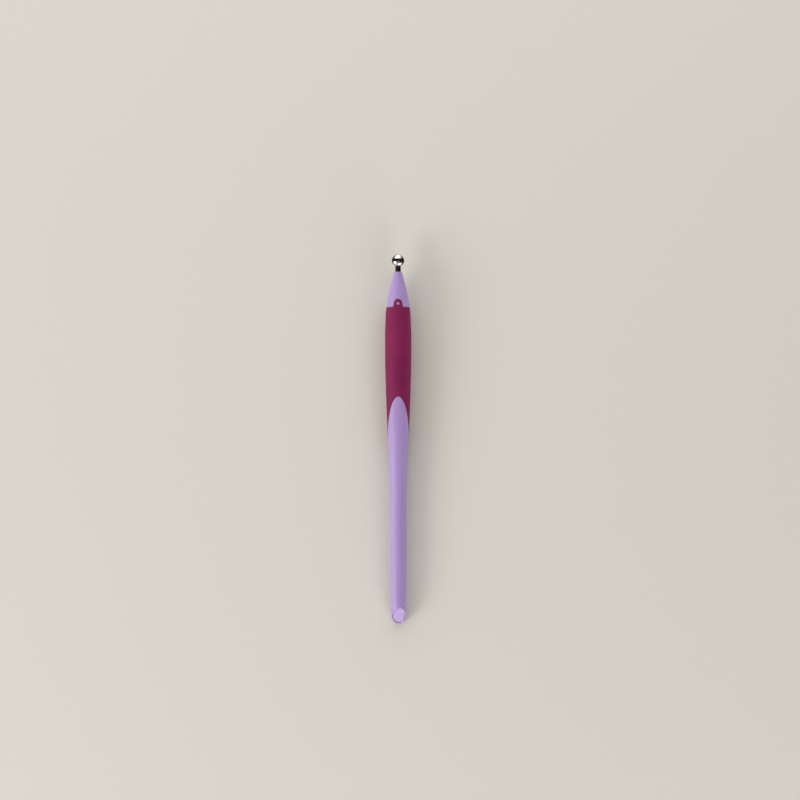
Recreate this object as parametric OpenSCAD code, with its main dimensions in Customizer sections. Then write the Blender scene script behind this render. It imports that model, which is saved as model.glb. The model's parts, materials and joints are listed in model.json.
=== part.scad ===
// Embossing stylus: a steel ball on a short shank, a slim handle, a soft sleeve and an end plug.
// It lies on its side with the ball towards +Y and rests on the sleeve's belly and on its heel.
// Each piece is drawn on the stylus's own axis first. There z runs from the front of the ball to
// the heel, and y points up, to the side that has the tongue. lay_down() then puts it at rest.

/* [Overall] */
// Length from the front of the ball to the heel
overall_length = 180; // [168:1:200]

/* [Ball tip] */
// Diameter of the ball
ball_d = 6; // [5:0.5:8]
// Depth of the blind hole in the ball, from its seat
ball_hole_depth = 3.4; // [2:0.2:4]

/* [Tip shank] */
// Diameter of the shank
shank_d = 2.7; // [2.2:0.1:3]
// Length of the bare neck, from the ball's seat to the nose
neck_length = 2.7; // [1.5:0.1:5]
// Diameter of the spigot that holds the ball
spigot_d = 1.8; // [1.2:0.1:2]
// Length of the shank inside the nose
anchor_length = 24; // [16:1:36]
// Number of turned grooves that key the shank in the nose
groove_count = 4; // [2:1:6]
// Width of each groove, and of the land between two
groove_width = 1.2; // [0.8:0.1:1.6]
// Depth of each groove
groove_depth = 0.25; // [0.1:0.05:0.4]

/* [Nose] */
// Diameter of the nose where the shank comes out
mouth_d = 3.6; // [3.6:0.1:5]
// Length of the nose, from its mouth to the sleeve
nose_length = 17.2; // [13:0.2:22]
// Diameter of the nose at the sleeve
nose_d = 11; // [9.6:0.2:12]
// Half angle of the nose at its mouth
nose_angle = 13; // [10:0.2:18]
// Radius of the edge round the mouth
mouth_edge = 0.3; // [0.1:0.05:0.4]

/* [Soft sleeve] */
// Step by which the sleeve stands proud of the nose
sleeve_step = 0.25; // [0.1:0.05:0.5]
// Wall of the sleeve
sleeve_wall = 1.5; // [1:0.1:1.8]
// Widest diameter, at the belly
belly_d = 12.8; // [12:0.2:15]
// Distance of the belly behind the sleeve's front edge
belly_setback = 19.5; // [14:0.5:26]
// Radius of the lip along the front edge
lip_radius = 0.4; // [0.1:0.05:0.6]
// Length of the sleeve along its top
sleeve_top_length = 43.3; // [34:0.5:50]
// Angle between the sleeve's slanted rear edge and the axis
rear_edge_angle = 15.5; // [14:0.5:25]

/* [Tongue] */
// Width of the tongue at the front of the sleeve
tongue_w = 4.4; // [3.6:0.1:5]
// Distance of the peg ahead of the sleeve's front edge
tongue_reach = 1.7; // [1.5:0.1:3.5]
// Radius of the hollow corners at the tongue's root
tongue_fillet = 1.2; // [0.6:0.1:1.6]
// Diameter of the peg on the handle
peg_d = 1.4; // [1:0.1:2]
// Distance from the sleeve's skin down to the top of the peg
peg_sink = 0.15; // [0:0.05:0.4]

/* [Barrel] */
// Distance of the waist station behind the sleeve's front edge
waist_setback = 74.4; // [66:0.5:82]
// Diameter at the waist station
waist_d = 9.3; // [8.8:0.1:10.5]
// Angle of the skin to the axis at the waist station
waist_angle = 2.4; // [1.6:0.1:3]
// Length of the blend from the waist station to the straight barrel
barrel_blend = 30; // [24:1:36]
// Diameter of the straight barrel
barrel_d = 7.8; // [7.4:0.1:8.6]
// Length of the taper from the straight barrel to the heel
tail_length = 25; // [16:1:30]
// Diameter at the heel
heel_d = 6.9; // [6.4:0.1:7.4]

/* [Butt] */
// Angle between the butt's slanted face and the axis
face_angle = 39; // [32:1:50]
// Height of the blunt edge at the heel
heel_edge = 0.25; // [0.1:0.05:0.8]
// Radius of the edge round the slanted face
face_edge = 0.4; // [0.1:0.05:0.6]
// Wall of the rim round the plug, at the heel
rim_wall = 0.45; // [0.35:0.05:0.8]
// Diameter of the cored bore behind the plug
bore_d = 4.4; // [3.6:0.1:4.8]
// Depth of the cored bore, from the heel
bore_depth = 74; // [40:1:80]

/* [End plug] */
// Depth of the plug's face below the rim
plug_sink = 0.2; // [0:0.05:0.4]
// Radius of the edge round the plug's face
plug_round = 0.7; // [0.2:0.05:0.9]
// Thickness of the plug's head at its thin edge
plug_edge = 1.5; // [1:0.1:3]
// Length of the plug's stem
stem_length = 10; // [6:1:16]
// Diameter of the plug's stem between its ribs
stem_d = 3.8; // [3:0.1:4]
// Number of crush ribs on the stem
rib_count = 4; // [3:1:6]
// Width of each crush rib
rib_w = 0.6; // [0.4:0.1:1]

/* [Fits] */
// Gap all round between the shank and the ball or the nose
press_gap = 0.01; // [0:0.01:0.05]
// Gap between the sleeve and the handle
sleeve_gap = 0.02; // [0:0.01:0.1]
// Gap between the plug's head and the rim
plug_gap = 0.03; // [0.01:0.01:0.1]
// Gap left at the blind end of each hole
end_gap = 0.2; // [0.1:0.05:0.5]

/* [Hidden] */

$fn = 96;
// Longest stretch of axis that one band of a turned skin covers
skin_step = 1.6;
// Steps in each rounded corner of an outline
corner_steps = 5;
// Reach of the blocks that cut the ends, well past every skin
reach = 2 * belly_d;
// Length by which a cut or a blank runs past what it meets
overrun = 1;

ball_r = ball_d / 2;
shank_r = shank_d / 2;
heel_r = heel_d / 2;
plug_r = heel_r - rim_wall;

// Places along the axis, from the front of the ball
ball_seat_z = ball_r + sqrt(ball_r * ball_r - shank_r * shank_r);
mouth_z = ball_seat_z + neck_length;
front_z = mouth_z + nose_length;
peg_z = front_z - tongue_reach;
tongue_tip_z = peg_z - tongue_w / 2;
belly_z = front_z + belly_setback;
apex_z = front_z + sleeve_top_length;
waist_z = front_z + waist_setback;
barrel_z = waist_z + barrel_blend;
tail_z = overall_length - tail_length;
face_top_z = overall_length - (heel_d - heel_edge) / tan(face_angle);
head_z = face_top_z - plug_edge;

// Stations of the skin: place, radius, and angle of the skin to the axis
mouth = [mouth_z, mouth_d / 2, nose_angle];
nose_end = [front_z, nose_d / 2, 2];
lip = [front_z, nose_d / 2 + sleeve_step, 5];
belly = [belly_z, belly_d / 2, 0];
waist = [waist_z, waist_d / 2, -waist_angle];
barrel = [barrel_z, barrel_d / 2, 0];

// Radius at z on the smooth curve that joins station a to station b
function blend(z, a, b) =
    let (run = b[0] - a[0], t = (z - a[0]) / run)
    a[1] * (2 * t ^ 3 - 3 * t ^ 2 + 1) + b[1] * (3 * t ^ 2 - 2 * t ^ 3)
    + run * (tan(a[2]) * (t ^ 3 - 2 * t ^ 2 + t) + tan(b[2]) * (t ^ 3 - t ^ 2));

// Radius of the nose, and of everything behind the sleeve's front edge
function nose_skin(z) = blend(z, mouth, nose_end);
function body_skin(z) =
    z < belly_z ? blend(z, lip, belly)
    : z < waist_z ? blend(z, belly, waist)
    : z < barrel_z ? blend(z, waist, barrel)
    : z < tail_z ? barrel_d / 2
    : (barrel_d + (heel_d - barrel_d) * (z - tail_z) / tail_length) / 2;

// Radius of the sleeve's skin, its tongue included, and of the core that carries it
function sleeve_skin(z) = z < front_z ? nose_skin(z) + sleeve_step : body_skin(z);
function core_skin(z) = sleeve_skin(z) - sleeve_wall;

// Height of the sleeve's rear plane over the axis, and where it leaves the underside
function rear_plane_y(z) = body_skin(apex_z) - (z - apex_z) * tan(rear_edge_angle);
sleeve_end_z = max([for (z = [apex_z : 0.25 : tail_z]) if (rear_plane_y(z) > -body_skin(z)) z]);

// Places that cut a stretch of the axis into equal bands
function places(from, to) =
    let (n = max(1, ceil((to - from) / skin_step)))
    [for (i = [0 : n]) from + (to - from) * i / n];
// Points along an arc of an outline
function arc(centre, r, from, to) =
    [for (i = [0 : corner_steps])
        let (a = from + (to - from) * i / corner_steps) centre + r * [cos(a), sin(a)]];

// The resting angle lets the belly and the heel touch the same plane
rest_angle = max([for (z = places(front_z, waist_z))
    asin((body_skin(z) - heel_r) / (overall_length - z))]);
half_span = (overall_length * cos(rest_angle) - ball_r * (1 - cos(rest_angle))) / 2;
heel_drop = heel_r * cos(rest_angle) + overall_length * sin(rest_angle);

module lay_down() {
    translate([0, half_span, heel_drop]) rotate([90 + rest_angle, 0, 0]) children();
}

// Solid turned from a skin outline, closed along the axis
module turned(outline) {
    rotate_extrude()
        polygon(concat([[0, outline[0][1]]], outline, [[0, outline[len(outline) - 1][1]]]));
}

// Straight prism from the height bottom up, cut to an outline seen from above
module seen_from_above(bottom) {
    translate([0, reach, 0]) rotate([90, 0, 0]) linear_extrude(reach - bottom) children();
}

// Everything above and behind the plane of the sleeve's rear edge
module behind_rear_plane() {
    translate([0, body_skin(apex_z), apex_z]) rotate([rear_edge_angle, 0, 0])
        translate([-reach, 0, -reach]) cube([2 * reach, overall_length, reach + overall_length]);
}

// Everything outside a round bar that ends sink below the butt's slanted face in a rounded edge
module outside_rounded_end(bar_r, edge, sink) {
    slant = 1 / tan(face_angle);
    end_z = overall_length - slant * (heel_r - heel_edge) - sink / sin(face_angle);
    difference() {
        translate([0, 0, end_z - slant * bar_r - 2 * edge]) cylinder(r = 2 * bar_r, h = overall_length);
        multmatrix([[1, 0, 0, 0], [0, 1, 0, 0], [0, -slant, 1, end_z]])
            turned(concat([[bar_r, -overall_length]], arc([bar_r - edge, -edge], edge, 0, 90)));
    }
}

// Outline of the tongue seen from above, with its root in the sleeve's front band
module tongue_outline(inset) {
    half = tongue_w / 2 - inset;
    root = front_z + inset;
    fillet = tongue_fillet;
    translate([0, peg_z]) circle(half);
    polygon(concat(
        [[half, peg_z]],
        arc([half + fillet, root - fillet], fillet, 180, 90),
        [[half + fillet, root + lip_radius], [-half - fillet, root + lip_radius]],
        arc([-half - fillet, root - fillet], fillet, 90, 0),
        [[-half, peg_z]]
    ));
}

// Core that carries the sleeve, with room for a gap when it cuts the sleeve's inside
module core(grow) {
    turned([for (z = places(tongue_tip_z - overrun, sleeve_end_z + overrun)) [core_skin(z) + grow, z]]);
}

module peg(grow, top) {
    translate([0, top, peg_z]) rotate([90, 0, 0]) cylinder(r = peg_d / 2 + grow, h = top);
}

// Shank with its spigot, neck and grooved anchor, grown all round where it cuts its own seat
module shank(grow) {
    anchor_end = mouth_z + anchor_length;
    first_groove = anchor_end - (2 * groove_count + 1) * groove_width;
    grooves = [for (i = [0 : groove_count - 1])
        let (z = first_groove + (2 * i + 1) * groove_width)
        each [[shank_r, z], [shank_r - groove_depth, z],
              [shank_r - groove_depth, z + groove_width], [shank_r, z + groove_width]]];
    outline = concat(
        [[spigot_d / 2, ball_seat_z - ball_hole_depth + end_gap], [spigot_d / 2, ball_seat_z]],
        [[shank_r, ball_seat_z]],
        grooves,
        [[shank_r, anchor_end - groove_depth], [shank_r - groove_depth, anchor_end]]
    );
    turned([for (p = outline) [p[0] + grow, p[1]]]);
}

module handle_blank() {
    edge_r = nose_skin(mouth_z + mouth_edge);
    difference() {
        turned(concat(
            arc([edge_r - mouth_edge, mouth_z + mouth_edge], mouth_edge, -90, 0),
            [for (z = places(mouth_z + mouth_edge, front_z))
                if (z > mouth_z + mouth_edge) [nose_skin(z), z]]
        ));
        seen_from_above(0) tongue_outline(0);
    }
    core(0);
    intersection() {
        turned(concat(
            [for (z = places(belly_z, barrel_z)) [body_skin(z), z]],
            [[barrel_d / 2, tail_z], [heel_r, overall_length]]
        ));
        behind_rear_plane();
    }
    peg(0, sleeve_skin(peg_z) - peg_sink);
}

module handle() {
    color("#B29BD0") lay_down() difference() {
        handle_blank();
        shank(press_gap);
        translate([0, 0, overall_length - bore_depth]) cylinder(d = bore_d, h = bore_depth);
        translate([0, 0, head_z]) cylinder(r = plug_r + plug_gap, h = overall_length);
        outside_rounded_end(body_skin(face_top_z - 3 * face_edge), face_edge, 0);
    }
}

module soft_grip() {
    lip_z = front_z + sleeve_gap;
    lip_r = sleeve_skin(lip_z + lip_radius);
    color("#7B2650") lay_down() difference() {
        union() {
            difference() {
                turned(concat(
                    arc([lip_r - lip_radius, lip_z + lip_radius], lip_radius, -90, 0),
                    [for (z = places(lip_z + lip_radius, sleeve_end_z + overrun))
                        if (z > lip_z + lip_radius) [sleeve_skin(z), z]]
                ));
                translate([0, 0, -sleeve_gap]) behind_rear_plane();
            }
            intersection() {
                turned([for (z = [each places(tongue_tip_z - overrun, front_z), lip_z + lip_radius])
                    [sleeve_skin(z), z]]);
                seen_from_above(0) tongue_outline(sleeve_gap);
            }
        }
        core(sleeve_gap);
        peg(sleeve_gap, reach);
    }
}

module tip_shank() {
    color("#4A4744") lay_down() shank(0);
}

module ball_tip() {
    hole_z = ball_seat_z - ball_hole_depth;
    color("#C9CACC") lay_down() difference() {
        translate([0, 0, ball_r]) sphere(ball_r);
        translate([0, 0, ball_seat_z]) cylinder(r = ball_r, h = ball_r);
        translate([0, 0, hole_z]) cylinder(d = spigot_d + 2 * press_gap, h = ball_d);
    }
}

module end_plug() {
    stem_z = head_z - stem_length;
    color("#BBA2DC") lay_down() difference() {
        union() {
            translate([0, 0, head_z]) cylinder(r = plug_r, h = overall_length - head_z);
            translate([0, 0, stem_z]) cylinder(d = stem_d, h = stem_length + overrun / 2);
            for (i = [0 : rib_count - 1]) rotate([0, 0, 360 * (i + 0.5) / rib_count])
                translate([0, -rib_w / 2, stem_z + overrun])
                    cube([bore_d / 2, rib_w, stem_length - overrun / 2]);
        }
        outside_rounded_end(plug_r + plug_gap, plug_round, plug_sink);
    }
}

handle();
soft_grip();
tip_shank();
ball_tip();
end_plug();
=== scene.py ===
"""Looks of the embossing stylus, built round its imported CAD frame.

World places are in metres. Sizes are in millimetres on the stylus's own axis: z runs from the front
of the ball to the heel, y points up to the side that has the tongue, and a turn is counted from
there. Lines on the skin are drawn unrolled, as u round the skin and z along it.
"""

import json
import math

import bmesh
import bpy
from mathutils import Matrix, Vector


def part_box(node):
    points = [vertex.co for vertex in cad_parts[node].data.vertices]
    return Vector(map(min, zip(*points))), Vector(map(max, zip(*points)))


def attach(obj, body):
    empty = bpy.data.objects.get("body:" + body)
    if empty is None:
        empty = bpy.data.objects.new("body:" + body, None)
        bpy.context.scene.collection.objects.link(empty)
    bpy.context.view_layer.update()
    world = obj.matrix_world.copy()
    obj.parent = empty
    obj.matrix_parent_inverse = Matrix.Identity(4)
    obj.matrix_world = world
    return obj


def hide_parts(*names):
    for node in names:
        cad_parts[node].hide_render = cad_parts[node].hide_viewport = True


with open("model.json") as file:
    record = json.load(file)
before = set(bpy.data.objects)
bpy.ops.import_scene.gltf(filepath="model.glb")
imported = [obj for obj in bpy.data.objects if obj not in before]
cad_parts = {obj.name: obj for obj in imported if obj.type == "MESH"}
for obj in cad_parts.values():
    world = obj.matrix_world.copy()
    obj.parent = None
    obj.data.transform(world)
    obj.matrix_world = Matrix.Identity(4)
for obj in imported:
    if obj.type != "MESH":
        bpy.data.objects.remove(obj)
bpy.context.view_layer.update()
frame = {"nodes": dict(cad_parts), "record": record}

MM = 0.001
BODY = "root"

# The axis, from the mount on the barrel and the ball
BACK = Vector(frame["record"]["mounts"][0]["axis"]).normalized()
UP = Vector((0, BACK.z, -BACK.y))
ball_low, ball_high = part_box("ball_tip")
BALL_R = ball_high.x / MM
BALL_CENTRE = Vector((0, ball_high.y - ball_high.x, (ball_low.z + ball_high.z) / 2))
FRONT = BALL_CENTRE - BACK * BALL_R * MM
SHANK_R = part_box("tip_shank")[1].x / MM

# Places along the axis
OVERALL = 180.0
NECK_LENGTH = 2.7
NOSE_LENGTH = 17.2
MOUTH_Z = BALL_R + math.sqrt(BALL_R**2 - SHANK_R**2) + NECK_LENGTH
FRONT_Z = MOUTH_Z + NOSE_LENGTH
BELLY_Z = FRONT_Z + 19.5
APEX_Z = FRONT_Z + 43.3
WAIST_Z = FRONT_Z + 74.4
BARREL_Z = WAIST_Z + 30.0
TAIL_Z = OVERALL - 25.0

# Stations of the skin: place, radius, and angle of the skin to the axis in degrees
MOUTH = (MOUTH_Z, 1.8, 13.0)
NOSE_END = (FRONT_Z, 5.5, 2.0)
SLEEVE_STEP = 0.25
LIP = (FRONT_Z, NOSE_END[1] + SLEEVE_STEP, 5.0)
BELLY = (BELLY_Z, 6.4, 0.0)
WAIST = (WAIST_Z, 4.65, -2.4)
BARREL = (BARREL_Z, 3.9, 0.0)
HEEL_R = 3.45

# Sleeve, tongue and peg
SLEEVE_WALL = 1.5
SLEEVE_GAP = 0.03
REAR_ANGLE = math.radians(15.5)
TONGUE_W = 4.5
TONGUE_FILLET = 1.2
PEG_Z = FRONT_Z - 1.7
PEG_R = 0.7
PEG_SINK = 0.15
PEG_FOOT = 1.0
PEG_CROWN = 0.2

# Butt and plug
FACE_ANGLE = math.radians(39)
HEEL_EDGE = 0.25
RIM_WALL = 0.45
PLUG_R = HEEL_R - RIM_WALL
PLUG_GAP = 0.03
PLUG_EDGE = 1.5
HEAD_Z = OVERALL - (2 * HEEL_R - HEEL_EDGE) / math.tan(FACE_ANGLE) - PLUG_EDGE

# Seat of the shank, as far in as it shows
SEAT_GAP = 0.01
SEAT_DEPTH = 3

# Radii of the rounded edges
MOUTH_ROUND = 0.3
GRIP_ROUND = 0.6
POCKET_ROUND = 0.2
REAR_ROUND = 0.34
FACE_ROUND = 0.5
RIM_ROUND = 0.08
RIM_FLAT = 0.02
PEG_ROUND = 0.15


def on_axis(x, y, z):
    """World place of a point given in mm on the stylus's own axis."""
    return FRONT + (Vector((x, 0, 0)) + UP * y + BACK * z) * MM


# Skin


def blend(z, a, b):
    """Radius at z on the smooth curve that joins station a to station b."""
    run = b[0] - a[0]
    t = (z - a[0]) / run
    slope_a, slope_b = (math.tan(math.radians(s[2])) for s in (a, b))
    return (
        a[1] * (2 * t**3 - 3 * t**2 + 1)
        + b[1] * (3 * t**2 - 2 * t**3)
        + run * (slope_a * (t**3 - 2 * t**2 + t) + slope_b * (t**3 - t**2))
    )


def nose_skin(z):
    return blend(z, MOUTH, NOSE_END)


def body_skin(z):
    for start, end in ((LIP, BELLY), (BELLY, WAIST), (WAIST, BARREL)):
        if z < end[0]:
            return blend(z, start, end)
    taper = max(0.0, z - TAIL_Z) / (OVERALL - TAIL_Z)
    return BARREL[1] + (HEEL_R - BARREL[1]) * taper


def sleeve_skin(z):
    return nose_skin(z) + SLEEVE_STEP if z < FRONT_Z else body_skin(z)


def core_skin(z):
    return sleeve_skin(z) - SLEEVE_WALL


# Unrolled lines

UNROLL_R = LIP[1]
TIP_SHARE = 0.8
TIP_STEPS, SIDE_STEPS, FILLET_STEPS, ROUND_STEPS, EDGE_STEPS = 10, 2, 7, 32, 5

# Rows of faces along each stretch of the skin
NOSE_ROWS, CORE_ROWS, BACK_ROWS, BARREL_ROWS, TAIL_ROWS, BUTT_ROWS = 26, 20, 26, 24, 4, 6
TONGUE_ROWS, GRIP_ROWS, REAR_ROWS = 13, 28, 26

# Fineness of the searches along the skin, and length in metres of an edge too short to keep
HALVINGS, SMALL_TURN, BUTT_GUESSES = 50, 0.01, 6
SLIVER = 1e-7


def steps(start, end, count):
    """Count values after start, evenly up to end."""
    return [start + (end - start) * (i + 1) / count for i in range(count)]


def arc_line(centre, r, start, end, count):
    """Count points after the first along an arc, its angles in degrees."""
    turns = [math.radians(a) for a in steps(start, end, count)]
    return [(centre[0] + r * math.cos(a), centre[1] + r * math.sin(a)) for a in turns]


def front_line(inset):
    """The sleeve's front edge from the top of the tongue to the underside, moved into the sleeve."""
    half = TONGUE_W / 2
    root = (half + TONGUE_FILLET, FRONT_Z - TONGUE_FILLET)
    line = [(0.0, PEG_Z - half + inset)]
    line += arc_line((0, PEG_Z), half - inset, -90, 0, TIP_STEPS)
    line += [(half - inset, z) for z in steps(PEG_Z, root[1], SIDE_STEPS)]
    line += arc_line(root, TONGUE_FILLET + inset, 180, 90, FILLET_STEPS)
    return line + [(u, FRONT_Z + inset) for u in steps(root[0], math.pi * UNROLL_R, ROUND_STEPS)]


def even_columns():
    """Places round the skin where the columns of faces run, away from the tongue."""
    half = TONGUE_W / 2
    return (
        [0.0]
        + steps(0, TIP_SHARE * half, TIP_STEPS)
        + steps(TIP_SHARE * half, half, SIDE_STEPS)
        + steps(half, half + TONGUE_FILLET, FILLET_STEPS)
        + steps(half + TONGUE_FILLET, math.pi * UNROLL_R, ROUND_STEPS)
    )


COLUMNS = even_columns()


def ring_line(z):
    return [(u, z) for u in COLUMNS]


def between(a, b, t):
    """Line a share t of the way from line a to line b."""
    return [(p[0] + (q[0] - p[0]) * t, p[1] + (q[1] - p[1]) * t) for p, q in zip(a, b)]


def plane_meets(skin, turn):
    """Place where a skin meets the plane of the sleeve's rear edge, at one turn."""
    low, high = APEX_Z - 15, APEX_Z + 60
    for _ in range(HALVINGS):
        z = (low + high) / 2
        above = skin(z) * math.cos(turn) > body_skin(APEX_Z) - (z - APEX_Z) * math.tan(REAR_ANGLE)
        low, high = (low, z) if above else (z, high)
    return z


def rear_line(skin, setback=0.0):
    """Where a skin meets the rear plane, moved back along the skin, square to that line."""
    line = []
    for u in COLUMNS:
        turn = u / UNROLL_R
        z = plane_meets(skin, turn)
        near = plane_meets(skin, turn + SMALL_TURN)
        slope = (near - z) / (SMALL_TURN * skin(z))
        line.append((u, z + setback * math.hypot(1, slope)))
    return line


# Meshes


def row_on(line, skin, depth=0.0):
    """Points of a line on a skin, as turn, radius and place."""
    return [(u / UNROLL_R, skin(z) - depth, z) for u, z in line]


def loft(name, rows, ring):
    """Closed mesh over rows of half turns, mirrored. It joins up as a ring, or has an end cap each side."""
    mesh = bmesh.new()
    grid = []
    for row in rows:
        whole = row + [(-turn, r, z) for turn, r, z in row[-2:0:-1]]
        grid.append([mesh.verts.new(on_axis(r * math.sin(t), r * math.cos(t), z)) for t, r, z in whole])
    count = len(grid[0])
    bands = list(zip(grid, grid[1:] + grid[:1])) if ring else list(zip(grid, grid[1:]))
    for a, b in bands:
        for i in range(count):
            j = (i + 1) % count
            mesh.faces.new((a[i], a[j], b[j], b[i]))
    if not ring:
        mesh.faces.new(grid[0][::-1])
        mesh.faces.new(grid[-1])
    return to_object(name, mesh)


SHARP = math.radians(35)


def fill(data, mesh):
    """Put a bmesh into a mesh, smooth but for its sharp edges."""
    mesh.to_mesh(data)
    mesh.free()
    data.shade_smooth()
    data.set_sharp_from_angle(angle=SHARP)


def to_object(name, mesh):
    bmesh.ops.recalc_face_normals(mesh, faces=mesh.faces)
    data = bpy.data.meshes.new(name)
    fill(data, mesh)
    piece = bpy.data.objects.new(name, data)
    bpy.context.scene.collection.objects.link(piece)
    return piece


def edge_arc(radius, inwards_first):
    """Inset and depth of the points of a rounded edge, from its wall to the skin or back."""
    pairs = []
    for i in range(EDGE_STEPS + 1):
        a = math.pi / 2 * i / EDGE_STEPS
        pairs.append((radius * (1 - math.cos(a)), radius * (1 - math.sin(a))))
    return pairs if inwards_first else pairs[::-1]


def upright_post(mesh, profile, at_z, count=40):
    """Closed post that stands up from the axis, turned from radius and height pairs."""
    rings = []
    for r, y in profile:
        turns = [2 * math.pi * i / count for i in range(count)]
        rings.append([mesh.verts.new(on_axis(r * math.sin(t), y, at_z + r * math.cos(t))) for t in turns])
    for a, b in zip(rings, rings[1:]):
        for i in range(count):
            mesh.faces.new((a[i], a[(i + 1) % count], b[(i + 1) % count], b[i]))
    mesh.faces.new(rings[0][::-1])
    mesh.faces.new(rings[-1])


def face_z(y):
    """Place of the butt's slanted face at a height over the axis."""
    return OVERALL - (y + HEEL_R - HEEL_EDGE) / math.tan(FACE_ANGLE)


def butt_row(r_of_turn, sink_of_turn):
    """Row round the butt's slanted face, at a radius and a depth that may change with the turn."""
    row = []
    for u in COLUMNS:
        turn = u / UNROLL_R
        r = r_of_turn(turn)
        row.append((turn, r, min(face_z(r * math.cos(turn)) - sink_of_turn(turn), OVERALL)))
    return row


def butt_r(turn):
    """Radius of the skin where it meets the butt's face, closed in on from the heel's radius."""
    r = HEEL_R
    for _ in range(BUTT_GUESSES):
        r = body_skin(face_z(r * math.cos(turn)))
    return r


def face_round(turn):
    """Reach of the rounding round the butt's face, which leaves the plug's rim whole."""
    return min(FACE_ROUND, butt_r(turn) - PLUG_R - PLUG_GAP - RIM_ROUND - RIM_FLAT)


def peg_profile():
    """Radius and height pairs of the peg: foot in the core, wall, rounded edge and slight dome."""
    top = sleeve_skin(PEG_Z) - PEG_SINK
    edge = top - PEG_CROWN
    profile = [(PEG_R, core_skin(PEG_Z) - PEG_FOOT), (PEG_R, edge)]
    for a in (0.4, 0.8, 1.2, 1.57):
        profile.append((PEG_R - PEG_ROUND * (1 - math.cos(a)), edge + PEG_ROUND * math.sin(a)))
    return profile + [(0.3, top - 0.02), (0.05, top)]


def build_handle():
    """The lavender body: nose, tongue pocket, hidden core, back part with its slanted ends, and peg."""
    seat_r = SHANK_R + SEAT_GAP
    nose_start = MOUTH_Z + MOUTH_ROUND
    mouth_r = nose_skin(nose_start)
    rows = [row_on(ring_line(z), lambda z: seat_r) for z in (MOUTH_Z + SEAT_DEPTH, MOUTH_Z)]
    for inset, depth in edge_arc(MOUTH_ROUND, True):
        rows.append(row_on(ring_line(MOUTH_Z + inset), lambda z: mouth_r, depth))
    # pocket edge
    pocket = front_line(-POCKET_ROUND)
    nose = ring_line(nose_start)
    rows += [row_on(between(nose, pocket, t), nose_skin) for t in steps(0, 1, NOSE_ROWS)]
    for inset, depth in edge_arc(POCKET_ROUND, False)[1:]:
        rows.append(row_on(front_line(-inset), nose_skin, depth))
    # core
    core_front = front_line(0)
    core_rear = rear_line(core_skin)
    rows += [row_on(between(core_front, core_rear, t), core_skin) for t in [0.0] + steps(0, 1, CORE_ROWS)]
    # back part
    for inset, depth in edge_arc(POCKET_ROUND, True):
        rows.append(row_on(rear_line(body_skin, inset), body_skin, depth))
    back_start = rear_line(body_skin, POCKET_ROUND)
    even_start = BARREL_Z - 18
    even_line = ring_line(even_start)
    rows += [row_on(between(back_start, even_line, t), body_skin) for t in steps(0, 1, BACK_ROWS)]
    rows += [row_on(ring_line(z), body_skin) for z in steps(even_start, TAIL_Z, BARREL_ROWS)]
    butt_start = TAIL_Z + 12
    rows += [row_on(ring_line(z), body_skin) for z in steps(TAIL_Z, butt_start, TAIL_ROWS)]
    end = butt_row(butt_r, face_round)
    last = ring_line(butt_start)
    for t in steps(0, 1, BUTT_ROWS):
        line = between(last, [(turn * UNROLL_R, z) for turn, r, z in end], t)
        rows.append(row_on(line, body_skin))
    for inset, depth in edge_arc(1, True)[1:]:
        rows.append(butt_row(lambda t: butt_r(t) - inset * face_round(t), lambda t: depth * face_round(t)))
    # rim and pocket of the plug
    hole_r = PLUG_R + PLUG_GAP
    for inset, depth in edge_arc(RIM_ROUND, False):
        rows.append(butt_row(lambda t: hole_r + inset, lambda t: depth))
    rows.append([(turn, r, HEAD_Z) for turn, r, z in rows[-1]])
    piece = loft("handle_body", rows, ring=False)

    mesh = bmesh.new()
    mesh.from_mesh(piece.data)
    upright_post(mesh, peg_profile(), PEG_Z)
    bmesh.ops.recalc_face_normals(mesh, faces=mesh.faces)
    fill(piece.data, mesh)
    return piece


def build_sleeve():
    """The soft sleeve: a closed ring of rounded edges, skin, slanted rear face and inside."""
    rows = []
    for inset, depth in edge_arc(GRIP_ROUND, True):
        rows.append(row_on(front_line(SLEEVE_GAP + inset), sleeve_skin, depth))
    tongue_end = front_line(SLEEVE_GAP + GRIP_ROUND)
    full_ring = FRONT_Z + 4
    for t in steps(0, 1, TONGUE_ROWS):
        rows.append(row_on(between(tongue_end, ring_line(full_ring), t), sleeve_skin))
    last_ring = APEX_Z - 10
    rows += [row_on(ring_line(z), sleeve_skin) for z in steps(full_ring, last_ring, GRIP_ROWS)]
    rear_edge = rear_line(body_skin, -SLEEVE_GAP - REAR_ROUND)
    for t in steps(0, 1, REAR_ROWS):
        rows.append(row_on(between(ring_line(last_ring), rear_edge, t), body_skin))
    for inset, depth in edge_arc(REAR_ROUND, False)[1:]:
        rows.append(row_on(rear_line(body_skin, -SLEEVE_GAP - inset), body_skin, depth))

    def inside(z):
        return core_skin(z) + SLEEVE_GAP

    inner_rear = rear_line(inside, -SLEEVE_GAP)
    inner_front = front_line(SLEEVE_GAP)
    rows += [row_on(between(inner_rear, inner_front, t), inside) for t in [0.0] + steps(0, 1, CORE_ROWS)]
    piece = loft("soft_sleeve", rows, ring=True)
    cut_peg_hole(piece)
    return piece


def cut_peg_hole(piece):
    """Cut the round hole for the peg through the sleeve's tongue."""
    cutter_mesh = bmesh.new()
    hole_r = PEG_R + SLEEVE_GAP
    hole_low, hole_high = 1, 8
    upright_post(cutter_mesh, [(hole_r, hole_low), (hole_r, hole_high)], PEG_Z)
    cutter = to_object("peg_hole_cutter", cutter_mesh)
    hole = piece.modifiers.new("peg_hole", "BOOLEAN")
    hole.operation, hole.solver, hole.object = "DIFFERENCE", "EXACT", cutter
    graph = bpy.context.evaluated_depsgraph_get()
    cut = bmesh.new()
    cut.from_object(piece, graph)
    piece.modifiers.clear()
    bmesh.ops.dissolve_degenerate(cut, dist=SLIVER, edges=cut.edges)
    fill(piece.data, cut)
    bpy.data.objects.remove(cutter)


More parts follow.
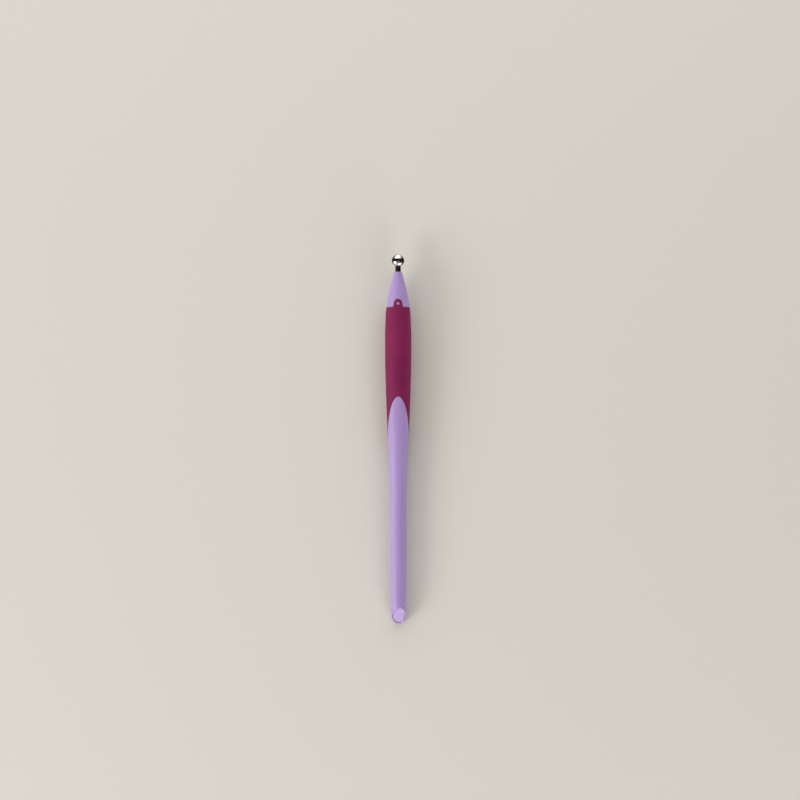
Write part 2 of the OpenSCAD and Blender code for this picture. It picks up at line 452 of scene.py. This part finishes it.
# Materials


def linear(hex_colour):
    """Scene-linear colour of an sRGB hex colour."""
    parts = [int(hex_colour[i : i + 2], 16) / 255 for i in (1, 3, 5)]
    return [p / 12.92 if p <= 0.04045 else ((p + 0.055) / 1.055) ** 2.4 for p in parts] + [1.0]


def new_material(name, **sockets):
    """A Principled material with plain values set on its own sockets."""
    material = bpy.data.materials.new(name)
    material.use_nodes = True
    shader = material.node_tree.nodes["Principled BSDF"]
    for socket, value in sockets.items():
        shader.inputs[socket.replace("_", " ")].default_value = value
    return material


class Maker:
    """Adds nodes to one material, on its objects' own coordinates in metres."""

    def __init__(self, material):
        self.tree = material.node_tree
        self.shader = self.tree.nodes["Principled BSDF"]
        self.place = self.tree.nodes.new("ShaderNodeTexCoord").outputs["Object"]

    def node(self, kind, links=(), **settings):
        made = self.tree.nodes.new(kind)
        for name, value in settings.items():
            setattr(made, name, value)
        for socket, value in dict(links).items():
            if isinstance(value, bpy.types.NodeSocket):
                self.tree.links.new(value, made.inputs[socket])
            else:
                made.inputs[socket].default_value = value
        return made

    def noise(self, size_mm, detail=2.0, roughness=0.5, stretch=(1, 1, 1)):
        """Noise whose features are about size_mm across."""
        scaled = self.node("ShaderNodeMapping", {"Vector": self.place, "Scale": stretch})
        links = {"Vector": scaled.outputs["Vector"], "Scale": 1000 / size_mm}
        links.update({"Detail": detail, "Roughness": roughness})
        return self.node("ShaderNodeTexNoise", links).outputs["Fac"]

    def span(self, value, low, high, from_low=0.3, from_high=0.7, curve="LINEAR"):
        """A stretch of a value, or a noise's middle stretch, spread from low to high."""
        links = {"Value": value, "From Min": from_low, "From Max": from_high, "To Min": low, "To Max": high}
        return self.node("ShaderNodeMapRange", links, interpolation_type=curve).outputs["Result"]

    def math(self, operation, a, b=0.0):
        made = self.node("ShaderNodeMath", operation=operation)
        for socket, value in zip(made.inputs, (a, b)):
            if isinstance(value, bpy.types.NodeSocket):
                self.tree.links.new(value, socket)
            else:
                socket.default_value = value
        return made.outputs["Value"]

    def mix_colours(self, factor, a, b):
        """Colour between a and b, each a hex colour or a colour socket."""
        first, second = (linear(c) if isinstance(c, str) else c for c in (a, b))
        links = {"Factor": factor, 6: first, 7: second}
        return self.node("ShaderNodeMix", links, data_type="RGBA").outputs[2]

    def bump(self, height, depth_mm, normal=None):
        """Bump whose height runs from 0 to 1 over a real depth."""
        links = {"Height": height, "Distance": depth_mm * MM, "Strength": 1.0}
        if normal is not None:
            links["Normal"] = normal
        return self.node("ShaderNodeBump", links).outputs["Normal"]

    def finish(self, colour=None, roughness=None, normal=None):
        for socket, value in (("Base Color", colour), ("Roughness", roughness), ("Normal", normal)):
            if value is not None:
                self.tree.links.new(value, self.shader.inputs[socket])


# Parting lines' half widths, the reach and colour of the painted light on the peg's top, and the length
# over which the polish fades in
SEAM_CORE, SEAM_EDGE = 0.03 * MM, 0.09 * MM
PEG_PAINTED_LIGHT_R, PEG_PAINTED_LIGHT_COLOUR = 0.85, "#DDAFE0"
POLISH_FADE = 1.5 * MM


def moulded_plastic(name, pale, deep, gloss, polish):
    """Satin moulded plastic: faint flow shading, fine grain, parting lines, and a polished butt."""
    material = new_material(name, Specular_IOR_Level=0.5, Subsurface_Weight=0.12, Subsurface_Scale=2 * MM)
    material.node_tree.nodes["Principled BSDF"].inputs["Subsurface Radius"].default_value = (1.0, 0.7, 1.0)
    maker = Maker(material)
    flow = maker.span(maker.noise(14, 3, stretch=(1, 0.35, 1)), 0, 1)
    skin = maker.noise(0.35, 3, 0.6)
    parts = maker.node("ShaderNodeSeparateXYZ", {"Vector": maker.place})
    drop = BACK.z / BACK.y
    height_links = {0: parts.outputs["Y"], 1: drop, 2: FRONT.z - FRONT.y * drop}
    axis_height = maker.node("ShaderNodeMath", height_links, operation="MULTIPLY_ADD").outputs["Value"]
    off_axis = maker.math("ABSOLUTE", maker.math("SUBTRACT", parts.outputs["Z"], axis_height))
    seam = maker.span(off_axis, 1, 0, SEAM_CORE, SEAM_EDGE, "SMOOTHSTEP")
    normal = maker.bump(skin, 0.006)
    normal = maker.bump(seam, 0.03, normal)
    # Painted light: the peg's top is painted paler, fully within the peg's radius and fading out just
    # beyond it, standing in for the light it would catch out of the shade of its hole
    peg_top = on_axis(0, sleeve_skin(PEG_Z), PEG_Z)
    reach = maker.node("ShaderNodeVectorMath", {0: maker.place, 1: peg_top}, operation="DISTANCE")
    peg = maker.span(reach.outputs["Value"], 1, 0, PEG_R * MM, PEG_PAINTED_LIGHT_R * MM)
    colour = maker.mix_colours(peg, maker.mix_colours(flow, pale, deep), PEG_PAINTED_LIGHT_COLOUR)
    butt = on_axis(0, 0, HEAD_Z + 1).y
    satin = maker.span(parts.outputs["Y"], polish, 1, butt - POLISH_FADE, butt + POLISH_FADE, "SMOOTHSTEP")
    gloss_marks = maker.span(maker.noise(3, 3), gloss - 0.05, gloss + 0.07)
    maker.finish(colour, maker.math("MULTIPLY", gloss_marks, satin), normal)
    return material


def soft_rubber():
    """Matte over-moulded elastomer with a fine grain and a little bloom."""
    material = new_material("grip_burgundy", Specular_IOR_Level=0.14)
    maker = Maker(material)
    bloom = maker.span(maker.noise(9, 4, 0.6), 0, 1)
    grain = maker.noise(0.22, 4, 0.65)
    pits = maker.noise(0.7, 2, 0.5)
    normal = maker.bump(pits, 0.02, maker.bump(grain, 0.016))
    maker.finish(
        maker.mix_colours(bloom, "#852453", "#791E49"),
        maker.span(maker.noise(2.2, 3), 0.5, 0.62),
        normal,
    )
    return material


def polished_ball():
    """Mirror polished steel with hairline polishing marks."""
    material = new_material("ball_mirror_steel", Metallic=1.0)
    maker = Maker(material)
    marks = maker.noise(0.25, 3, 0.6, stretch=(6, 1, 1))
    cloud = maker.span(maker.noise(1.6, 2), 0, 1)
    maker.finish(
        maker.mix_colours(cloud, "#D9D7D4", "#CFCCC9"),
        maker.span(maker.noise(0.9, 3), 0.03, 0.07),
        maker.bump(marks, 0.0002),
    )
    return material


def turned_steel():
    """Polished steel with fine turning lines round it, its colour painted dark as a painted reflection of
    dark surroundings.
    """
    material = new_material("shank_steel_painted_dark", Metallic=1.0)
    maker = Maker(material)
    lines = maker.noise(0.6, 2, 0.5, stretch=(0.02, 10, 0.02))
    cloud = maker.span(maker.noise(1.2, 2), 0, 1)
    maker.finish(
        # Painted reflection: both steel colours are dark to stand in for the dark surroundings that
        # polished steel mirrors
        maker.mix_colours(cloud, "#57524F", "#46423F"),
        maker.span(lines, 0.2, 0.34),
        maker.bump(lines, 0.003),
    )
    return material


lavender = moulded_plastic("handle_lavender", "#B096CC", "#A98DC5", 0.38, 0.2)
# Painted light: the plug's lavender is the handle's painted paler, standing in for light on the butt's
# slanted face, which turns away from the top softbox
plug_lavender_painted_light = moulded_plastic("plug_lavender_painted_light", "#C3A7DC", "#BB9ED4", 0.32, 0.8)
for node, material in {
    "tip_shank": turned_steel(),
    "ball_tip": polished_ball(),
    "end_plug": plug_lavender_painted_light,
}.items():
    frame["nodes"][node].material_slots[0].material = material

handle = build_handle()
handle.data.materials.append(lavender)
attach(handle, BODY)
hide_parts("handle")

sleeve = build_sleeve()
sleeve.data.materials.append(soft_rubber())
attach(sleeve, BODY)
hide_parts("soft_grip")

# Floor, which the camera sees turn into the backdrop far from the stylus
BACKDROP = linear("#D6D2C9")
FLOOR_NEAR, FLOOR_FAR = 0.3, 1.0


def pale_floor():
    colour = linear("#DDD9CF")
    material = new_material("floor_pale", Base_Color=colour, Roughness=0.9, Specular_IOR_Level=0.0)
    maker = Maker(material)
    reach = maker.node("ShaderNodeVectorMath", {0: maker.place}, operation="LENGTH").outputs["Value"]
    far = maker.span(reach, 0, 1, FLOOR_NEAR, FLOOR_FAR)
    seen = maker.math("MULTIPLY", far, maker.node("ShaderNodeLightPath").outputs["Is Camera Ray"])
    backdrop = maker.node("ShaderNodeEmission", {"Color": BACKDROP, "Strength": 1.0}).outputs["Emission"]
    links = {0: seen, 1: maker.shader.outputs["BSDF"], 2: backdrop}
    mixed = maker.node("ShaderNodeMixShader", links).outputs["Shader"]
    maker.tree.links.new(mixed, maker.tree.nodes["Material Output"].inputs["Surface"])
    return material


bpy.ops.mesh.primitive_plane_add(size=6, location=(0, 0, 0))
floor = bpy.context.object
floor.name = "floor"
floor.data.materials.append(pale_floor())

# Camera
PX_PER_MM = 2.056
AXIS_PX, ORIGIN_PY, IMAGE_PX = 398.25, 439.7, 800
LENS_MM, SENSOR_MM = 120, 36
MIDDLE_HEIGHT = 5.6
ROLL = math.radians(-0.1)
camera_data = bpy.data.cameras.new("camera")
camera = bpy.data.objects.new("camera", camera_data)
bpy.context.scene.collection.objects.link(camera)
camera_data.lens, camera_data.sensor_width = LENS_MM, SENSOR_MM
camera_height = MIDDLE_HEIGHT + LENS_MM / SENSOR_MM * IMAGE_PX / PX_PER_MM
camera.location = (
    (IMAGE_PX / 2 - AXIS_PX) / PX_PER_MM * MM,
    (ORIGIN_PY - IMAGE_PX / 2) / PX_PER_MM * MM,
    camera_height * MM,
)
camera.rotation_euler = (0, 0, ROLL)
bpy.context.scene.camera = camera

# Light


def area_light(name, direction, distance, size, power):
    """Softbox that faces the stylus's middle from a direction."""
    data = bpy.data.lights.new(name, "AREA")
    data.shape = "RECTANGLE"
    data.size, data.size_y = size
    data.energy = power
    lamp = bpy.data.objects.new(name, data)
    bpy.context.scene.collection.objects.link(lamp)
    lamp.location = Vector(direction).normalized() * distance
    lamp.rotation_euler = (-lamp.location).to_track_quat("-Z", "Y").to_euler()


LIGHT_DISTANCE = 1.3
area_light("key_left", (-0.81, -0.48, 0.38), LIGHT_DISTANCE, (0.8, 0.42), 8.5)
area_light("top_softbox", (-0.05, 0.93, 0.36), LIGHT_DISTANCE, (1.7, 0.85), 14.0)
area_light("low_right", (0.4, -0.85, 0.32), LIGHT_DISTANCE, (0.6, 0.6), 6.5)

# World, bright round the horizon and dim overhead, and the plain backdrop to the camera
ZENITH = (0.28, 0, 1)
SKY_STOPS = ((0.0, (0.95, 0.94, 0.93, 1)), (0.85, (0.22, 0.22, 0.22, 1)))
world = bpy.data.worlds.new("studio")
bpy.context.scene.world = world
world.use_nodes = True
sky = world.node_tree
up = sky.nodes.new("ShaderNodeVectorMath")
up.operation = "DOT_PRODUCT"
up.inputs[1].default_value = ZENITH
sky.links.new(sky.nodes.new("ShaderNodeTexCoord").outputs["Generated"], up.inputs[0])
ramp = sky.nodes.new("ShaderNodeValToRGB")
sky.links.new(up.outputs["Value"], ramp.inputs["Fac"])
for element, (position, colour) in zip(ramp.color_ramp.elements, SKY_STOPS):
    element.position = position
    element.color = colour
seen = sky.nodes.new("ShaderNodeMix")
seen.data_type = "RGBA"
sky.links.new(sky.nodes.new("ShaderNodeLightPath").outputs["Is Camera Ray"], seen.inputs["Factor"])
sky.links.new(ramp.outputs["Color"], seen.inputs[6])
seen.inputs[7].default_value = BACKDROP
sky.links.new(seen.outputs[2], sky.nodes["Background"].inputs["Color"])
sky.nodes["Background"].inputs["Strength"].default_value = 1.0

# Cards round the ball, seen only in reflections
CARD_REACH = 20 * MM
CARD_FOOT = 0.2 * MM - BALL_CENTRE.z
CARD_LOW, CARD_TURN, CARD_STEP = -20, 55, 5
CARD_BEHIND = 14 * MM


def card(name, material, profile, start, end):
    """Bent card round the ball, from x and z pairs about its centre, between two places along y."""
    mesh = bmesh.new()
    rows = []
    for y in (start, end):
        rows.append([mesh.verts.new(BALL_CENTRE + Vector((x, y, z))) for x, z in profile])
    for a, b, c, d in zip(rows[0], rows[0][1:], rows[1][1:], rows[1]):
        mesh.faces.new((a, b, c, d))
    made = to_object(name, mesh)
    made.data.materials.append(material)
    made.visible_camera = made.visible_diffuse = made.visible_shadow = made.visible_transmission = False


def card_arc(start, end):
    """Points along an arc over the ball, its angles in whole degrees."""
    turns = [math.radians(a) for a in range(start, end + 1, CARD_STEP)]
    return [(CARD_REACH * math.cos(a), CARD_REACH * math.sin(a)) for a in turns]


black = new_material("card_black", Base_Color=(0.01, 0.009, 0.008, 1), Roughness=0.9)
white = new_material("card_white", Emission_Color=(1, 1, 1, 1), Emission_Strength=1.0)
right_foot = [(0.25 * CARD_REACH, CARD_FOOT), (0.92 * CARD_REACH, CARD_FOOT)]
right_side = right_foot + card_arc(CARD_LOW, CARD_TURN)
left_side = [(-x, z) for x, z in right_side]
card("card_left", black, left_side, -4 * MM, CARD_BEHIND)
card("card_right", black, right_side, -11 * MM, CARD_BEHIND)
card("card_over", black, card_arc(CARD_TURN, 180 - CARD_TURN), -2 * MM, CARD_BEHIND)
card("card_front", white, [(-8 * MM, CARD_FOOT), (8 * MM, CARD_FOOT)], 15 * MM, 60 * MM)

bpy.context.scene.view_settings.view_transform = "Standard"
